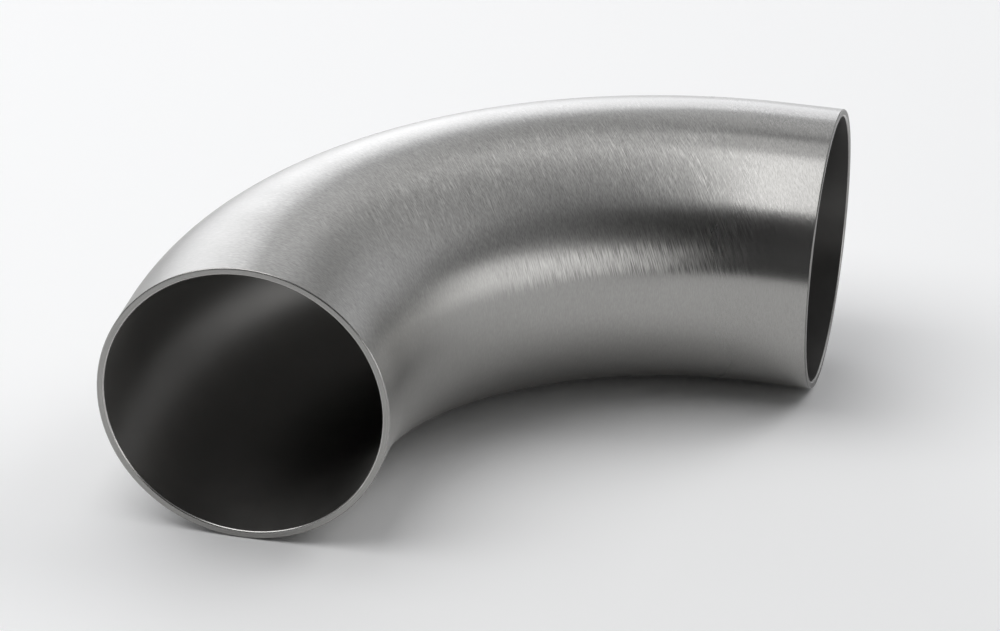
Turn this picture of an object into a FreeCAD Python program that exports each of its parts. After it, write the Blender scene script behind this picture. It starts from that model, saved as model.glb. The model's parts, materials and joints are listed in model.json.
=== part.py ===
"""Sanitary weld bend: a quarter turn of polished stainless tube, ready to be butt-welded into a pipe run.

The bend is one piece of thin-walled round tube. A toroidal part with a centre-line radius of one and a half
diameters turns the flow, and a short straight tangent at each end gives a welding head something to clamp.
Both ends are faced square to the tube, and their outer and inner edges are broken by a small chamfer.

Frame, in millimetres: the origin is the centre of weld face A, and the tube leaves it along +Y. The bend turns
towards +X in the plane z = 0, so that weld face B faces +X. The part lies as it rests on a table, with +Z up.
"""

import FreeCAD
import Part

import os

# Tube
TUBE_OUTER_DIAMETER = 63.5
WALL = 1.65

# Bend
BEND_RADIUS = 95.25
BEND_ANGLE = 90.0
TANGENT_LENGTH = 12.7

# Edge breaks left by facing and deburring the ends
OUTER_EDGE_BREAK = 0.25
INNER_EDGE_BREAK = 0.35

# Worked out from the sizes above
OUTER_RADIUS = TUBE_OUTER_DIAMETER / 2
BORE_RADIUS = OUTER_RADIUS - WALL

# Directions: the tube leaves weld face A along ALONG, and UP is the axis that the bend turns about
ALONG = FreeCAD.Vector(0, 1, 0)
UP = FreeCAD.Vector(0, 0, 1)
BEND_START = FreeCAD.Vector(0, TANGENT_LENGTH, 0)
BEND_CENTRE = BEND_START + FreeCAD.Vector(BEND_RADIUS, 0, 0)


def past_bend(point):
    """Where a point near the bend's start goes when it is carried round the bend to its far end."""
    turn = FreeCAD.Rotation(UP, -BEND_ANGLE)
    return BEND_CENTRE + turn.multVec(point - BEND_CENTRE)


def tube_section(centre, axis):
    """The ring of metal that a square cut through the tube shows, as a face."""
    outer = Part.Wire(Part.makeCircle(OUTER_RADIUS, centre, axis))
    bore = Part.Wire(Part.makeCircle(BORE_RADIUS, centre, axis))
    return Part.Face([outer, bore])


def bend():
    """The curved part: the tube's section carried round the bend's axis."""
    section = tube_section(BEND_START, ALONG)
    return section.revolve(BEND_CENTRE, UP, -BEND_ANGLE)


def tangent(root, outward):
    """A straight end, turned about its own axis from the root on the bend to the weld face.

    The half section runs along the bore, over the inner edge break, up the weld face, over the outer edge
    break and back along the outside of the tube.
    """
    profile = [
        (0, BORE_RADIUS),
        (TANGENT_LENGTH - INNER_EDGE_BREAK, BORE_RADIUS),
        (TANGENT_LENGTH, BORE_RADIUS + INNER_EDGE_BREAK),
        (TANGENT_LENGTH, OUTER_RADIUS - OUTER_EDGE_BREAK),
        (TANGENT_LENGTH - OUTER_EDGE_BREAK, OUTER_RADIUS),
        (0, OUTER_RADIUS),
        (0, BORE_RADIUS),
    ]
    points = [root + outward * reach + UP * radius for reach, radius in profile]
    half_section = Part.Face(Part.makePolygon(points))
    return half_section.revolve(root, outward, 360)


def weld_bend():
    """The whole fitting: bend and tangents as one piece of tube."""
    end_a = tangent(BEND_START, -ALONG)
    root_b = past_bend(BEND_START)
    outward_b = past_bend(BEND_START + ALONG) - root_b
    end_b = tangent(root_b, outward_b)
    return bend().fuse([end_a, end_b])


def export(shape, node):
    """Write one node, after making sure that it is a single closed solid."""
    if len(shape.Solids) != 1 or not shape.Solids[0].isValid():
        raise ValueError(node + " is not one valid solid")
    solid = shape.Solids[0]
    solid.exportStep(os.path.join("parts", node + ".step"))
    box = solid.optimalBoundingBox()
    print(node, "solid, volume in cubic centimetres:", round(solid.Volume / 1000, 3))
    print(node, "box, low corner:", round(box.XMin, 3), round(box.YMin, 3), round(box.ZMin, 3))
    print(node, "box, high corner:", round(box.XMax, 3), round(box.YMax, 3), round(box.ZMax, 3))


os.makedirs("parts", exist_ok=True)
export(weld_bend(), "weld_bend")
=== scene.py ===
# %% [markdown]
# # Sanitary weld bend
# A quarter turn of thin stainless tube that is butt-welded into hygienic pipework. The outside is polished
# with a fine abrasive belt, the ends are faced square, and the bore is left dark and matt.
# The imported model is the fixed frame: it gives the sizes, the place of every mount and the box to stay in.

# %% Load the frame
import json
import math

import bpy
import numpy as np
from mathutils import Matrix, Vector


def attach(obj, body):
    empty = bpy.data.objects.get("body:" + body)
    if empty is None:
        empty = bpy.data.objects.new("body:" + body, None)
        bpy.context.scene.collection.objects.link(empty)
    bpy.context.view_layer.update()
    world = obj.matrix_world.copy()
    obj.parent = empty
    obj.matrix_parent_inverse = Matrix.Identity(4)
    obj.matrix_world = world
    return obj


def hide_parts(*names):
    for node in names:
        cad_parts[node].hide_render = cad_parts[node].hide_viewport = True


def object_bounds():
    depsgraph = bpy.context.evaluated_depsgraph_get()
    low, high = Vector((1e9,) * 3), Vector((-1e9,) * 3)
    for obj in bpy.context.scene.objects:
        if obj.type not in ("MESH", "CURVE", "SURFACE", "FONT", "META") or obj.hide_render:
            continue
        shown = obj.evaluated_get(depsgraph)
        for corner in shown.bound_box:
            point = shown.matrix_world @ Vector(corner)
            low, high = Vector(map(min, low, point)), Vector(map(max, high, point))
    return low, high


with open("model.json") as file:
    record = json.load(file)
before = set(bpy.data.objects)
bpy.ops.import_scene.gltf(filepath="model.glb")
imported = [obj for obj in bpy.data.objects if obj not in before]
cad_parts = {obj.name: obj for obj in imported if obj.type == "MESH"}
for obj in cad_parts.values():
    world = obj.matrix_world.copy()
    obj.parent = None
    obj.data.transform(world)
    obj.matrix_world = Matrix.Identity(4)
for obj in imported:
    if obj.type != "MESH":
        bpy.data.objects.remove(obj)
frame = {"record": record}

CAD_BOX = [[float(v) for v in corner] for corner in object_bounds()]
print("CAD box in metres:", CAD_BOX)

# %% [markdown]
# ## Sizes
# Every size of the tube comes from the mounts of the record, so that the dressed bend and the solid are the same.
# Only the two edge breaks are stated here, because a mount's length stops where its edge break starts.

# %% Read the sizes
MM = 0.001
MOUNTS = {mount["name"]: mount for mount in frame["record"]["mounts"]}
OUTER_RADIUS = MOUNTS["end_a_outside"]["dims"]["r_mm"] * MM
BORE_RADIUS = MOUNTS["end_a_bore"]["dims"]["r_mm"] * MM
OUTER_EDGE_BREAK = 0.25 * MM
INNER_EDGE_BREAK = 0.35 * MM
TANGENT = MOUNTS["end_a_bore"]["dims"]["length_mm"] * MM + INNER_EDGE_BREAK
BEND_RADIUS = MOUNTS["end_b_bore"]["pos_m"][0] - TANGENT
QUARTER_TURN = math.pi / 2
ARC = BEND_RADIUS * QUARTER_TURN
LENGTH = ARC + 2 * TANGENT
BEND_AXIS = (BEND_RADIUS, TANGENT, 0.0)
UP = np.array([0.0, 0.0, 1.0])
print("tube %.2f mm outside, bore %.2f mm, centre line %.1f mm long"
      % (2 * OUTER_RADIUS / MM, 2 * BORE_RADIUS / MM, LENGTH / MM))

# %% [markdown]
# ## The tube
# A bend like this is a straight tube drawn over a mandrel. In Blender it could be a curve with a bevel or a spun
# circle, but both leave the ends to be finished by hand. Here the whole wall is one closed surface of two
# parameters instead: a loop that runs out along the outside, over weld face B, back through the bore and over
# weld face A, and the angle round the tube. One grid makes every face, with no seam and no pole.
# The centre line comes first: a straight tangent, a quarter of a circle and another tangent.

# %% Centre line of the tube
def centre_line(station):
    """Points of the centre line at distances from face A, with the direction away from the bend's axis and the
    direction of travel. The angle turned is the distance past the tangent, divided by the bend's radius."""
    turned = np.clip((station - TANGENT) / BEND_RADIUS, 0, QUARTER_TURN)
    before = np.minimum(station - TANGENT, 0)
    after = np.maximum(station - TANGENT - ARC, 0)
    zero = np.zeros_like(station)
    outward = np.stack([-np.cos(turned), np.sin(turned), zero], axis=-1)
    travel = np.stack([np.sin(turned), np.cos(turned), zero], axis=-1)
    points = np.array(BEND_AXIS) + BEND_RADIUS * outward
    points[..., 1] += before
    points[..., 0] += after
    return points, outward, travel


face_centres = centre_line(np.array([0.0, LENGTH]))[0]
print("weld faces centred at, in mm:", (face_centres / MM).round(2).tolist())

# %% [markdown]
# ## The loop round the wall
# Cut along its length, the wall shows a thin closed outline: the outside, the bore, two weld faces, and the four
# broken edges between them. A Bevel modifier could break the edges, but each would need a weight of its own. Here
# the outline is written down as stations and radii, so that each edge has the size it has in the solid. A filed
# edge is nearly flat and bulges a little. Small steps beside it keep the shading of the long surfaces even.

# %% Edge breaks and step lengths
EDGE_STEPS = np.array([0, 0.08, 0.2, 0.5, 0.8, 0.92, 1])[:, None]
EDGE_BULGE = 0.12
END_STEP = 0.03 * MM
END_STEPS = 4
STEP_GROWTH = 3.0


def edge_break(start, end):
    """Points of a filed edge, as station and radius: a straight bevel from start to end, pushed outwards by a
    parabola that is EDGE_BULGE of the bevel's width in the middle. The steps are short at both ends."""
    across = end - start
    outwards = np.array([-across[1], across[0]])
    return start + EDGE_STEPS * across + 4 * EDGE_BULGE * EDGE_STEPS * (1 - EDGE_STEPS) * outwards


def crowded_ends(low, high, count):
    """Stations from low to high: from each end the steps start small and grow, and further in they are even."""
    lead = np.cumsum(END_STEP * STEP_GROWTH ** np.arange(END_STEPS))
    middle = np.linspace(low + lead[-1], high - lead[-1], count)
    return np.concatenate([low + lead[:-1], middle, high - lead[:-1][::-1]])


print("edges bulge by %.3f mm outside and %.3f mm inside"
      % tuple(EDGE_BULGE * math.sqrt(2) * width / MM for width in (OUTER_EDGE_BREAK, INNER_EDGE_BREAK)))

# %% The loop, stretch by stretch
POLISHED, FACED, DRAWN, FILED = 0, 1, 2, 3
FINISHES = np.array([POLISHED, FILED, FACED, FILED, DRAWN, FILED, FACED, FILED])
OUTSIDE_ROWS = 130
BORE_ROWS = 90
FACE_ROWS = 3


def wall_loop():
    """The loop from the outside of end A, along the tube, over face B and back through the bore to end A. The
    stretches are numbered: even ones are surfaces, and leave their end points to the edge breaks between them."""
    out_b = np.array([LENGTH - OUTER_EDGE_BREAK, OUTER_RADIUS])
    out_face_b = np.array([LENGTH, OUTER_RADIUS - OUTER_EDGE_BREAK])
    in_face_b = np.array([LENGTH, BORE_RADIUS + INNER_EDGE_BREAK])
    in_b = np.array([LENGTH - INNER_EDGE_BREAK, BORE_RADIUS])
    out_a, out_face_a, in_face_a, in_a = (
        np.array([LENGTH - station, radius]) for station, radius in (out_b, out_face_b, in_face_b, in_b))
    outside = crowded_ends(OUTER_EDGE_BREAK, LENGTH - OUTER_EDGE_BREAK, OUTSIDE_ROWS)
    bore = crowded_ends(INNER_EDGE_BREAK, LENGTH - INNER_EDGE_BREAK, BORE_ROWS)[::-1]
    face = np.linspace(0, 1, FACE_ROWS + 2)[1:-1, None]
    stretches = [
        np.column_stack([outside, np.full(len(outside), OUTER_RADIUS)]),
        edge_break(out_b, out_face_b),
        out_face_b + face * (in_face_b - out_face_b),
        edge_break(in_face_b, in_b),
        np.column_stack([bore, np.full(len(bore), BORE_RADIUS)]),
        edge_break(in_a, in_face_a),
        in_face_a + face * (out_face_a - in_face_a),
        edge_break(out_face_a, out_a),
    ]
    return np.concatenate(stretches), np.repeat(np.arange(len(stretches)), [len(rows) for rows in stretches])


loop, stretch = wall_loop()
print("the loop round the wall has", len(loop), "points in", stretch[-1] + 1, "stretches")

# %% [markdown]
# ## The mesh
# The loop is carried round the tube at even angles. That gives a grid of points, which numpy works out all at once.
# The finishes have to follow the surface, so the mesh keeps a map of it: u is the way walked along the loop, and v
# is the girth round the tube, both in metres. Two directions per point, along the loop and round the tube, let a
# finish tilt the light the way a scratch does.

# %% Grid to mesh
def closed_grid(name, points, loop_uv, layers, row_finish):
    """A mesh object from a grid of points that closes on itself both ways.

    Each face joins a point to the next one along both directions, and the last row and column join the first.
    loop_uv gives u and v of every corner of the grid with one more row and column than the points, so that the
    map doesn't fold back at the join. layers are vectors kept per point for the materials, and row_finish is
    the material slot of each row of faces."""
    rows, columns = points.shape[:2]
    index = np.arange(rows * columns).reshape(rows, columns)
    right = np.roll(index, -1, axis=1)
    quads = np.stack([index, right, np.roll(right, -1, axis=0), np.roll(index, -1, axis=0)], axis=-1)
    mesh = bpy.data.meshes.new(name)
    mesh.from_pydata(points.reshape(-1, 3), [], quads.reshape(-1, 4))
    corners = np.stack([loop_uv[:-1, :-1], loop_uv[:-1, 1:], loop_uv[1:, 1:], loop_uv[1:, :-1]], axis=2)
    uv = mesh.uv_layers.new(name="travel_and_girth")
    uv.data.foreach_set("uv", corners.reshape(-1, 2).astype(np.float32).ravel())
    for layer, values in layers.items():
        attribute = mesh.attributes.new(layer, "FLOAT_VECTOR", "POINT")
        attribute.data.foreach_set("vector", values.astype(np.float32).ravel())
    mesh.polygons.foreach_set("material_index", np.repeat(row_finish, columns).astype(np.int32))
    mesh.polygons.foreach_set("use_smooth", np.ones(len(mesh.polygons), dtype=bool))
    mesh.update()
    piece = bpy.data.objects.new(name, mesh)
    bpy.context.scene.collection.objects.link(piece)
    return piece


# %% The bend
COLUMNS = 216


def make_bend(loop, stretch):
    """The dressed bend: the centre line's point, plus the radius along the spoke at each angle. The angle starts
    at the bottom, so that the map's join lies where the bend rests."""
    station, radius = loop[:, 0], loop[:, 1]
    angle = np.linspace(-math.pi / 2, 1.5 * math.pi, COLUMNS, endpoint=False)
    cosine, sine = np.cos(angle)[None, :, None], np.sin(angle)[None, :, None]
    centre, outward, travel = centre_line(station)
    spoke = outward[:, None] * cosine + UP * sine
    around = UP * cosine - outward[:, None] * sine
    points = centre[:, None] + radius[:, None, None] * spoke
    heading = np.roll(loop, -1, axis=0) - np.roll(loop, 1, axis=0)
    heading /= np.linalg.norm(heading, axis=1, keepdims=True)
    along = heading[:, :1, None] * travel[:, None] + heading[:, 1:, None] * spoke
    steps = np.linalg.norm(np.diff(np.vstack([loop, loop[:1]]), axis=0), axis=1)
    walked = np.concatenate([[0], np.cumsum(steps)])
    girth = np.linspace(-math.pi, math.pi, COLUMNS + 1) * OUTER_RADIUS
    loop_uv = np.stack(np.meshgrid(walked, girth, indexing="ij"), axis=-1)
    layers = {"along": along, "around": np.broadcast_to(around, points.shape)}
    row_finish = FINISHES[np.where(stretch % 2 == 0, stretch, np.roll(stretch, -1))]
    return closed_grid("polished_bend", points, loop_uv, layers, row_finish)


bend = make_bend(loop, stretch)
print("bend:", len(bend.data.vertices), "points,", 2 * len(bend.data.polygons), "triangles")

# %% [markdown]
# ## Shader arithmetic
# A finish is easier to read as an expression than as a chain of nodes. `Value` wraps one socket, and Python's
# own operators add the Math nodes, so that `1 - mask` means what it says. Every other node comes from `node`.

# %% Sockets as values
class Value:
    """One output socket that holds a number. Sums, differences, products and quotients make Math nodes."""

    def __init__(self, finish, socket):
        self.finish = finish
        self.socket = socket

    def _math(self, operation, first, second):
        return self.finish.value("ShaderNodeMath", {"operation": operation}, {0: first, 1: second})

    def __add__(self, other):
        return self._math("ADD", self, other)

    def __sub__(self, other):
        return self._math("SUBTRACT", self, other)

    def __rsub__(self, other):
        return self._math("SUBTRACT", other, self)

    def __mul__(self, other):
        return self._math("MULTIPLY", self, other)

    def __truediv__(self, other):
        return self._math("DIVIDE", self, other)

    def __rtruediv__(self, other):
        return self._math("DIVIDE", other, self)

    def above(self, other):
        """The larger of the two."""
        return self._math("MAXIMUM", self, other)

    def below(self, other):
        """The smaller of the two."""
        return self._math("MINIMUM", self, other)

    __radd__ = __add__
    __rmul__ = __mul__


# %% A material under construction
class Finish:
    """A material whose nodes are added one by one."""

    def __init__(self, name):
        self.material = bpy.data.materials.new(name)
        self.material.use_nodes = True
        self.tree = self.material.node_tree
        self.tree.nodes.clear()

    def node(self, kind, settings=None, inputs=None, output=0):
        """Adds a node: its settings first, then numbers, colours or links into its sockets. Returns an output, or
        the node itself where output is None."""
        made = self.tree.nodes.new(kind)
        for key, value in (settings or {}).items():
            setattr(made, key, value)
        for key, value in (inputs or {}).items():
            if isinstance(value, Value):
                value = value.socket
            if isinstance(value, bpy.types.NodeSocket):
                self.tree.links.new(value, made.inputs[key])
            else:
                made.inputs[key].default_value = value
        return made if output is None else made.outputs[output]

    def value(self, *args, **kwargs):
        """The same as node, for an output that is a number."""
        return Value(self, self.node(*args, **kwargs))

    def done(self, surface):
        """Links the shader to the material's output and returns the material."""
        self.node("ShaderNodeOutputMaterial", {}, {"Surface": surface}, output=None)
        return self.material


# %% [markdown]
# ## Streaks, windows and tilts
# A scratch is thin one way and long the other. Drawn as grooves in the mesh, thousands of them would be far too
# heavy, and a picture of scratches would repeat. A Noise texture does it with one node, if the place across the
# streaks is divided by their width and the place along them by their length. A window tells where on the tube
# they are, in mm of travel and girth, and a tilt turns the light as their flanks do.

# %% Tools of the finishes
NOISE_ROUGHNESS = 0.6


def streaks(finish, across, along, width, length, detail, seed):
    """Noise about zero on a grid of cells that are width across the streaks and length along them, in mm."""
    place = finish.node("ShaderNodeCombineXYZ", {}, {"X": across / width, "Y": along / length, "Z": seed})
    noise = finish.value("ShaderNodeTexNoise", {"noise_dimensions": "3D"},
                         {"Vector": place, "Scale": 1.0, "Detail": detail, "Roughness": NOISE_ROUGHNESS})
    return noise - 0.5


def scratches(finish, across, along, width, length, crest, seed):
    """Separate scratches: only the crests of the streaks are left, and everything below the crest level is 0."""
    return (streaks(finish, across, along, width, length, detail=0.0, seed=seed) - crest).above(0)


def ramp(value, start, end):
    """0 before the start and 1 past the end, with a straight slope between them. The end may lie below the start."""
    return ((value - start) / (end - start)).above(0).below(1)


def window(value, rise, fall):
    """1 between two slopes: it rises over the first pair of limits, and falls back over the second."""
    return ramp(value, *rise) * ramp(value, *fall)


def surface_place(finish):
    """Travel along the tube from end A, and girth round it from the crown down the inner side of the turn, both
    in mm, from the piece's own UV map. On the outer side of the turn the girth is negative."""
    place = finish.node("ShaderNodeUVMap", {"uv_map": "travel_and_girth"})
    split = finish.node("ShaderNodeSeparateXYZ", {}, {"Vector": place}, output=None)
    return Value(finish, split.outputs["X"]) / MM, Value(finish, split.outputs["Y"]) / MM


# %% Normal, colour and metal
def tilted_normal(finish, tilt_along, tilt_around):
    """The normal plus two slopes: one along the loop of the wall and one round the tube, made unit length."""
    normal = finish.node("ShaderNodeNewGeometry", {}, output="Normal")
    for layer, tilt in (("along", tilt_along), ("around", tilt_around)):
        axis = finish.node("ShaderNodeAttribute", {"attribute_name": layer}, output="Vector")
        slope = finish.node("ShaderNodeVectorMath", {"operation": "SCALE"}, {"Vector": axis, "Scale": tilt})
        normal = finish.node("ShaderNodeVectorMath", {"operation": "ADD"}, {0: normal, 1: slope})
    return finish.node("ShaderNodeVectorMath", {"operation": "NORMALIZE"}, {0: normal})


def toned(finish, colour, tone):
    """A colour made lighter or darker by a number about one."""
    return finish.node("ShaderNodeVectorMath", {"operation": "SCALE"}, {"Vector": colour, "Scale": tone})


def metal(finish, colour, tone, roughness, normal, anisotropic=0.0):
    """Bare metal: its colour times the tone, a roughness, and a smear of the reflections where it was rubbed."""
    return finish.done(finish.node("ShaderNodeBsdfPrincipled", {}, {
        "Base Color": toned(finish, colour, tone), "Metallic": 1.0, "Roughness": roughness, "Normal": normal,
        "Anisotropic": anisotropic}))


def report(material):
    """Prints the size of a finish, and passes it on."""
    print("finish", material.name, "with", len(material.node_tree.nodes), "nodes")
    return material


# %% [markdown]
# ## Brushed stainless steel
# An abrasive belt leaves fine parallel scratches that run round the tube. They are far too fine to see one by one,
# and together they smear a reflection along the tube and leave it crisp round the tube. That is what Anisotropic
# does on the Principled shader. It smears along the tangent, and with no tangent linked that is the direction
# round the Z axis through the middle of the mesh's texture space. So the texture space is centred on the bend's own
# axis. The coarser scratches that can be seen are drawn one by one. They change the tone and tilt the normal.

# %% Texture space on the axis of the bend
bend.data.use_auto_texspace = False
bend.data.texspace_location = BEND_AXIS
bend.data.texspace_size = [BEND_RADIUS] * 3
print("reflections smear round the axis at, in mm:", [round(v / MM, 2) for v in bend.data.texspace_location])

# %% Grain of the belt
LEAN_AT_A = -0.12
LEAN_FROM = 60
LEAN_PER_MM = 0.0045
LEAN_STOPS = 36.0
CALM = 0.6
CALM_UNDER_SHOULDER = (33, 40)
CALM_BEHIND_CROWN = (0, -9)
CALM_AT_B = 0.15
CALM_AT_B_SPAN = (148, 165)
BELT_SPAN = (175, 120)
BELT_TONE = 1.2


def belt_lean(travel):
    """Travel in mm that the grain gains with each mm of girth. It grows evenly from LEAN_FROM on, towards end B."""
    return (travel - LEAN_FROM).above(0) * LEAN_PER_MM + LEAN_AT_A


def belt_grain(finish, travel, girth):
    """The fine grain, and the single scratches among it. The way across them is the travel less the lean times
    the girth, which counts up to LEAN_STOPS. Both are calmer under the shoulder and behind the crown."""
    across = travel - belt_lean(travel) * girth.below(LEAN_STOPS)
    calm = (1 - ramp(girth, *CALM_UNDER_SHOULDER) * CALM) * (1 - ramp(girth, *CALM_BEHIND_CROWN) * CALM)
    calm = calm * (1 - ramp(travel, *CALM_AT_B_SPAN) * CALM_AT_B)
    grain = streaks(finish, across, girth, width=0.13, length=1.0, detail=1.0, seed=3.3)
    single = scratches(finish, across, girth, width=0.2, length=2.5, crest=0.12, seed=5.3)
    return grain * calm, single * calm * ramp(travel, *BELT_SPAN) * BELT_TONE


print("the grain leans by", LEAN_AT_A, "at end A and by %.2f at end B"
      % (LEAN_AT_A + (LENGTH / MM - LEAN_FROM) * LEAN_PER_MM))

# %% [markdown]
# ## Rubbed scratches
# The belt can't reach the inside of the turn, so that was rubbed by hand, in straight strokes. Such scratches lie
# in parallel planes through the bend, whatever way its surface curves. So the way across them is no distance on
# the surface: it is the dot product of the place in space and the normal of the planes. Where they lie is told by
# limits in mm of travel and girth, and each pair of limits is where a slope starts and where it ends.

# %% Where the bend was rubbed
RUB_NORMAL = (0.824, 0.539, 0.175)
SHOULDER_ALONG = ((20, 55), (166, 146))
SHOULDER_TOP = (3, 9)
SHOULDER_FOOT = (30, 20)
FOOT_SINKS, FOOT_SINKS_OVER = 6, (115, 140)
SPOT_SIZE = 6
SPOT_GAIN, SPOT_SHARE = 3, 0.75
HARDER, HARDER_ALONG, HARDER_DOWN = 0.35, (100, 140), (15, 24)
BAND_ALONG = ((65, 105), (172, 150))
BAND_TOP = (32, 38)
BAND_FOOT = (45, 43)
BAND_CLIMBS, BAND_CLIMBS_OVER = 8, (140, 160)


def rubbed_shoulder(finish, travel, girth):
    """How much the inner shoulder was rubbed: spots inside a window whose foot sinks by FOOT_SINKS mm towards
    end B, where its lower part was also rubbed harder."""
    foot = girth - ramp(travel, *FOOT_SINKS_OVER) * FOOT_SINKS
    shoulder = window(travel, *SHOULDER_ALONG) * ramp(girth, *SHOULDER_TOP) * ramp(foot, *SHOULDER_FOOT)
    spots = streaks(finish, travel, girth, width=SPOT_SIZE, length=SPOT_SIZE, detail=1.0, seed=31.0)
    patch = ((spots * SPOT_GAIN + SPOT_SHARE) * shoulder).above(0).below(1)
    return patch * (1 + ramp(girth, *HARDER_DOWN) * ramp(travel, *HARDER_ALONG) * HARDER)


def rubbed_band(travel, girth):
    """How much the band under the shoulder was rubbed. Its top climbs by BAND_CLIMBS mm towards end B."""
    top = girth + ramp(travel, *BAND_CLIMBS_OVER) * BAND_CLIMBS
    return window(travel, *BAND_ALONG) * ramp(top, *BAND_TOP) * ramp(girth, *BAND_FOOT)


print("rubbed planes face", RUB_NORMAL, "and the shoulder is rubbed from", SHOULDER_ALONG[0][0], "to",
      SHOULDER_ALONG[1][0], "mm")

# %% Rubbed scratches
CREST, CREST_TONE, RUBBED_TONE = 0.06, 1.8, 0.7
CROSS_LEAN, CROSS_TONE = -0.55, 1.6
LINE_TONE, LINE_TONE_TO_B, LINE_SPAN = 1.7, 0.8, ((118, 126), (175, 145))


def rubbed_tone(finish, travel, girth):
    """Scratches in parallel planes: with bright crests on the shoulder, where a few more cross them, and as plain
    lines in the band, where they get stronger towards end B."""
    place = finish.node("ShaderNodeTexCoord", {}, output="Object")
    planes = finish.value("ShaderNodeVectorMath", {"operation": "DOT_PRODUCT"}, {0: place, 1: RUB_NORMAL}, "Value")
    across = planes / MM
    rubbed = streaks(finish, across, girth, width=0.2, length=3.5, detail=1.0, seed=7.7)
    crests = (rubbed - CREST).above(0) * CREST_TONE + rubbed * RUBBED_TONE
    cross = scratches(finish, travel - girth * CROSS_LEAN, girth, width=0.22, length=3.0, crest=0.14, seed=9.1)
    lines = streaks(finish, across, girth, width=0.24, length=4.5, detail=1.0, seed=13.0)
    line_tone = LINE_TONE + window(travel, *LINE_SPAN) * LINE_TONE_TO_B
    on_shoulder = (crests + cross * CROSS_TONE) * rubbed_shoulder(finish, travel, girth)
    in_band = lines * rubbed_band(travel, girth) * line_tone
    return on_shoulder + in_band


# %% [markdown]
# ## The polished skin
# The grain and the rubbed scratches together make the tone. A slow swell in the normal keeps the long reflections
# from looking drawn with a ruler, as on any tube that was polished by hand, and the roughness clouds a little. The
# grey is a dull one, with the slight warmth of the alloy.

# %% Belt-polished outside
STEEL = (0.362, 0.357, 0.346)
GRAIN_TILT = 0.045
SWELL_TILT = 0.02
SKIN_ROUGHNESS = 0.34
SMOOTHER_AT_B, SMOOTHER_SPAN = 0.08, (110, 160)
CLOUD_ROUGHNESS = 0.06
SKIN_SMEAR = 0.75


def polished_skin():
    """Grain and rubbed scratches about a tone of one. The grain also tilts the normal across its own lean, and two
    swells tilt it along the tube and round it."""
    finish = Finish("brushed_stainless")
    travel, girth = surface_place(finish)
    grain, single = belt_grain(finish, travel, girth)
    tone = 1 + grain + single + rubbed_tone(finish, travel, girth)
    swell_along = streaks(finish, travel, girth, width=16, length=22, detail=0.0, seed=11.1) * SWELL_TILT
    swell_around = streaks(finish, travel, girth, width=18, length=15, detail=0.0, seed=15.5) * SWELL_TILT
    tilt = grain * GRAIN_TILT
    normal = tilted_normal(finish, tilt + swell_along, swell_around - belt_lean(travel) * tilt)
    cloud = streaks(finish, travel, girth, width=9, length=30, detail=2.0, seed=21.0)
    roughness = SKIN_ROUGHNESS - ramp(travel, *SMOOTHER_SPAN) * SMOOTHER_AT_B + cloud * CLOUD_ROUGHNESS
    return metal(finish, STEEL, tone, roughness, normal, SKIN_SMEAR)


polished = report(polished_skin())

# %% [markdown]
# ## Machined weld faces
# The ends are faced square with a turning tool, which leaves fine rings. Modelled rings would be lost at this size,
# so they are streaks again: narrow across the wall and long round it. Face B's colour is darkened as painted shade.

# %% Weld faces
FACE = (0.36, 0.355, 0.344)
# PAINTED_SHADE_AT_B darkens face B and the edges beside it as painted shade.
PAINTED_SHADE_AT_B = 0.42
NEAR_B = ((50, 100), (300, 250))
RING_TONE, RING_TILT = 0.5, 0.25
FACE_ROUGHNESS = 0.45


def end_b_shade_tone(travel):
    """Painted shade at end B: 1 at end A, which the loop passes first and last, and 1 - PAINTED_SHADE_AT_B at end B,
    halfway round the loop.
    """
    return 1 - window(travel, *NEAR_B) * PAINTED_SHADE_AT_B


def faced_end():
    """Rings that change the tone, and tilt the normal across the wall."""
    finish = Finish("machined_face")
    travel, girth = surface_place(finish)
    rings = streaks(finish, travel, girth, width=0.12, length=20, detail=1.0, seed=41.0)
    # The tone of face B is darkened as painted shade.
    tone = (1 + rings * RING_TONE) * end_b_shade_tone(travel)
    return metal(finish, FACE, tone, FACE_ROUGHNESS, tilted_normal(finish, rings * RING_TILT, 0.0))


faced = report(faced_end())

# %% [markdown]
# ## Drawn bore
# The inside is as it left the drawing mandrel: dull, dark and nearly plain. It is smeared like the outside, because
# it was also rubbed round the tube. What varies is slow: faint clouds, and painted shade that darkens the colour
# towards the far end and along the bottom.

# %% Bore
BORE = (0.285, 0.279, 0.27)
# Painted shade: the bore's colour darkens towards end B and along the bottom.
PAINTED_SHADE_TO_END, PAINTED_SHADE_TO_END_SPAN = 0.45, (250, 180)
PAINTED_SHADE_AT_BOTTOM, PAINTED_SHADE_AT_BOTTOM_SPAN = 0.3, (62, 92)
BORE_CLOUD_TONE, BORE_CLOUD_TILT, BORE_CLOUD_ROUGHNESS = 0.2, 0.02, 0.06
BORE_ROUGHNESS = 0.40
BORE_SMEAR = 0.7


def drawn_bore():
    """Clouds about a tone with painted shade, which falls off towards end B and towards the bottom, where the girth
    is largest, counted either way from the top."""
    finish = Finish("drawn_bore")
    travel, girth = surface_place(finish)
    cloud = streaks(finish, travel, girth, width=12, length=12, detail=3.0, seed=61.0)
    # The bottom of the bore and its far end are darkened as painted shade.
    bottom = ramp(girth.above(girth * -1), *PAINTED_SHADE_AT_BOTTOM_SPAN)
    tone = (1 + cloud * BORE_CLOUD_TONE - ramp(travel, *PAINTED_SHADE_TO_END_SPAN) * PAINTED_SHADE_TO_END) * (1 - bottom * PAINTED_SHADE_AT_BOTTOM)
    normal = tilted_normal(finish, cloud * BORE_CLOUD_TILT, 0.0)
    return metal(finish, BORE, tone, BORE_ROUGHNESS + cloud * BORE_CLOUD_ROUGHNESS, normal, BORE_SMEAR)


drawn = report(drawn_bore())

# %% [markdown]
# ## Filed edges
# The edges are broken by hand with a fine file, which leaves them brighter than the faces beside them. Their tone
# wavers a little along the edge. The outer edges were also brushed with the outside, and are darker for it.

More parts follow.
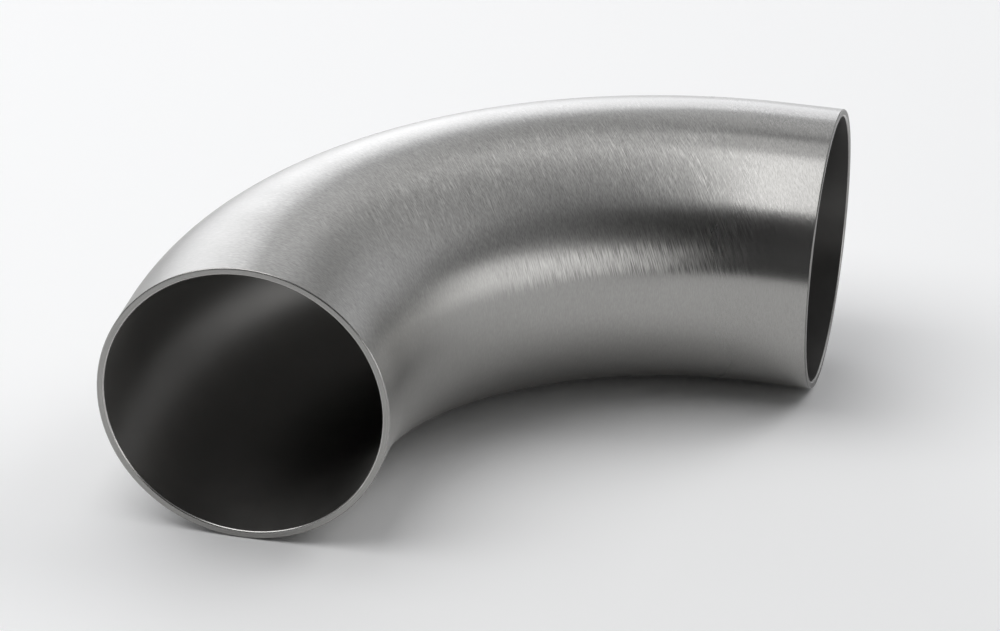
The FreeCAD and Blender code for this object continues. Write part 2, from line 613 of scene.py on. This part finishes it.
# %% Edges
FILED_EDGE = (0.50, 0.492, 0.478)
INNER_EDGES = ((175.2, 175.6), (352.1, 351.6))
OUTER_EDGE_TONE = 0.66
STROKE_TONE, STROKE_TILT = 0.5, 0.1
EDGE_ROUGHNESS = 0.26


def filed_edge():
    """Short strokes across the edge. The limits of the inner edges lie on the two weld faces, so no change shows."""
    finish = Finish("filed_edge")
    travel, girth = surface_place(finish)
    strokes = streaks(finish, travel, girth, width=0.3, length=1.5, detail=1.0, seed=43.0)
    inner = window(travel, *INNER_EDGES)
    # The edges at end B get the same painted shade as face B.
    tone = (1 + strokes * STROKE_TONE) * end_b_shade_tone(travel) * (OUTER_EDGE_TONE + inner * (1 - OUTER_EDGE_TONE))
    normal = tilted_normal(finish, strokes * STROKE_TILT, 0.0)
    return metal(finish, FILED_EDGE, tone, EDGE_ROUGHNESS, normal)


filed = report(filed_edge())

# %% [markdown]
# ## Dressing the bend
# The finishes go into the mesh's slots in the order of their numbers, so that every row of faces finds its own.
# Then the piece is parented to the empty of the part's only body, so that it moves with it, and the imported solid
# is hidden, so that the piece stands in for it.

# %% Dress the bend
for material in (polished, faced, drawn, filed):
    bend.data.materials.append(material)
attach(bend, "root")
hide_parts("weld_bend")
print("the bend wears", [material.name for material in bend.data.materials])

# %% [markdown]
# ## Studio
# Polished steel has hardly any colour of its own: it shows what stands around it. So the studio is built the way
# a product photographer builds it, with a pale floor, soft boxes overhead, behind and at the right, and a black
# flag in front that puts the dark band on the tube's shoulder. The floor comes first. It is a plain matt sheet,
# large enough to be the whole background.

# %% Floor
LOW, HIGH = (Vector(corner) for corner in CAD_BOX)
MIDDLE = (LOW + HIGH) / 2
FLOOR_HALF = 3.0
FLOOR_DROP = 0.0001
FLOOR_GREY = 0.93


def plain(name, grey):
    """A matt grey material."""
    finish = Finish(name)
    return finish.done(finish.node("ShaderNodeBsdfDiffuse", {}, {"Color": (grey, grey, grey, 1)}))


def stage_sheet(name, points, faces, material):
    """A thin sheet that belongs to the studio and not to the part."""
    mesh = bpy.data.meshes.new(name)
    mesh.from_pydata(points, [], faces)
    piece = bpy.data.objects.new(name, mesh)
    bpy.context.scene.collection.objects.link(piece)
    mesh.materials.append(material)
    return piece


floor_z = LOW.z - FLOOR_DROP
floor_corners = [(x * FLOOR_HALF, y * FLOOR_HALF, floor_z) for x, y in ((-1, -1), (1, -1), (1, 1), (-1, 1))]
stage_sheet("floor", floor_corners, [(0, 1, 2, 3)], plain("floor_paint", FLOOR_GREY))
print("floor at %.2f mm" % (floor_z / MM))

# %% [markdown]
# ## Soft boxes
# A rectangular area lamp is a soft box, and the steel shows it as a band with soft ends. The ones overhead hang
# level above a spot on the floor. The others stand round the bend, and are placed by azimuth, elevation and
# distance. Each is given its radiance, which is the brightness a mirror would show, so that a box can grow
# without getting brighter in the reflection.

# %% Boxes that hang or stand
COOL = (0.96, 0.97, 1.0)
WHITE = (1, 1, 1)


def direction(azimuth, elevation):
    """Unit vector towards an azimuth, counted from +Y towards +X, and an elevation, both in degrees."""
    a, e = math.radians(azimuth), math.radians(elevation)
    return Vector((math.sin(a) * math.cos(e), math.cos(a) * math.cos(e), math.sin(e)))


def soft_box(name, place, aim, size, radiance, colour=WHITE):
    """A rectangular lamp that faces the aim point. Its power is radiance times pi times its area."""
    width, height = size
    lamp = bpy.data.lights.new(name, "AREA")
    lamp.shape = "RECTANGLE"
    lamp.size, lamp.size_y = width, height
    lamp.energy = radiance * math.pi * width * height
    lamp.color = colour
    box = bpy.data.objects.new(name, lamp)
    back = (place - aim).normalized()
    box.matrix_world = Matrix.Translation(place) @ back.to_track_quat("Z", "Y").to_matrix().to_4x4()
    bpy.context.scene.collection.objects.link(box)
    print(name, "%.2f W" % lamp.energy)
    return box


def hung_box(name, x, y, height, size, radiance):
    """A box that hangs level at a height above the bend's middle, shifted by x and y."""
    spot = MIDDLE + Vector((x, y, 0))
    return soft_box(name, spot + Vector((0, 0, height)), spot, size, radiance)


def standing_box(name, azimuth, elevation, distance, size, radiance, colour=WHITE):
    """A box that stands round the bend and faces its middle."""
    return soft_box(name, MIDDLE + direction(azimuth, elevation) * distance, MIDDLE, size, radiance, colour)


# %% Light the bend
hung_box("overhead_box", -0.474, -0.223, 0.864, size=(1.07, 0.845), radiance=2.10)
hung_box("crown_box", -0.166, 0.271, 0.65, size=(0.54, 0.237), radiance=0.75)
standing_box("behind_box", -27.1, 3.2, 1.6, size=(1.77, 1.40), radiance=1.40, colour=COOL)
standing_box("glow_box", -27.9, 19.3, 1.7, size=(0.75, 1.11), radiance=1.38, colour=COOL)
standing_box("backdrop_box", 38.8, 9.2, 1.6, size=(1.02, 1.08), radiance=0.69, colour=COOL)
standing_box("ceiling_box", 35.6, 45.0, 2.0, size=(2.98, 1.16), radiance=0.41)
# The box at the right is only a reflection in the steel, and the floor fill only lights the floor.
right = standing_box("right_box", 114, 8.3, 0.45, size=(0.83, 0.16), radiance=1.39)
right.visible_diffuse = False
fill = hung_box("floor_fill", 1.07, 0.77, 1.2, size=(0.9, 0.9), radiance=2.67)
fill.visible_glossy = False

# %% [markdown]
# ## Black flag
# Without something dark to reflect, steel looks like grey plastic. A curved black card stands round the front,
# hidden from the camera, and the shoulder of the tube shows it as its dark band. One strip of flat faces is enough,
# because it is only seen blurred.

# %% Flag
FLAG_RADIUS = 0.55
FLAG_STEPS = 24
FLAG_GREY = 0.045


def flag(name, first, last, low, high):
    """A curved card about the bend between two azimuths and two elevations, in degrees."""
    ring = [direction(azimuth, 0) * FLAG_RADIUS + MIDDLE for azimuth in np.linspace(first, last, FLAG_STEPS + 1)]
    edges = [FLAG_RADIUS * math.tan(math.radians(elevation)) for elevation in (low, high)]
    points = [p + Vector((0, 0, z)) for p in ring for z in edges]
    faces = [(2 * i, 2 * i + 2, 2 * i + 3, 2 * i + 1) for i in range(FLAG_STEPS)]
    card = stage_sheet(name, points, faces, plain(name + "_cloth", FLAG_GREY))
    card.visible_camera = False
    return card


front_flag = flag("front_flag", 121.5, 211, -4, 47.8)
print("flag of", len(front_flag.data.polygons), "faces")

# %% [markdown]
# ## Air of the studio
# Between the boxes the steel reflects the room. A plain world colour stands for its pale, slightly cool walls. The
# Standard view transform shows each colour about as it is written.

# %% World and view
ROOM_COLOUR = (0.97, 0.98, 1.0, 1)
ROOM_STRENGTH = 0.315
world = bpy.data.worlds.new("studio_air")
world.use_nodes = True
world.node_tree.nodes["Background"].inputs["Color"].default_value = ROOM_COLOUR
world.node_tree.nodes["Background"].inputs["Strength"].default_value = ROOM_STRENGTH
bpy.context.scene.world = world
bpy.context.scene.view_settings.view_transform = "Standard"
print("room light", ROOM_STRENGTH)

# %% [markdown]
# ## Camera
# The view was found by fitting this same bend to the outlines in the photograph: a long lens from about a metre,
# looking down on the front weld face, and rolled by two degrees.

# %% Camera
AIM = Vector((53.48, 4.58, 26.10)) * MM
AZIMUTH = 11.214
ELEVATION = 26.713
ROLL = 1.971
DISTANCE = 0.98
LENS = 171.28
SENSOR = 36.0
CLIP_START = 0.01


def look(aim, azimuth, elevation, roll, distance):
    """Camera matrix: it stands to the right of -Y by the azimuth, above by the elevation, and rolls to its left."""
    a, e, r = (math.radians(v) for v in (azimuth, elevation, roll))
    back = Vector((math.sin(a) * math.cos(e), -math.cos(a) * math.cos(e), math.sin(e)))
    level = Vector((math.cos(a), math.sin(a), 0))
    upright = back.cross(level)
    side = level * math.cos(r) + upright * math.sin(r)
    up = upright * math.cos(r) - level * math.sin(r)
    matrix = Matrix((side, up, back)).transposed().to_4x4()
    matrix.translation = aim + back * distance
    return matrix


lens = bpy.data.cameras.new("photograph_view")
lens.lens = LENS
lens.sensor_width = SENSOR
lens.clip_start = CLIP_START
camera = bpy.data.objects.new("photograph_view", lens)
camera.matrix_world = look(AIM, AZIMUTH, ELEVATION, ROLL, DISTANCE)
bpy.context.scene.collection.objects.link(camera)
bpy.context.scene.camera = camera
print("camera at", [round(v, 5) for v in camera.matrix_world.translation])
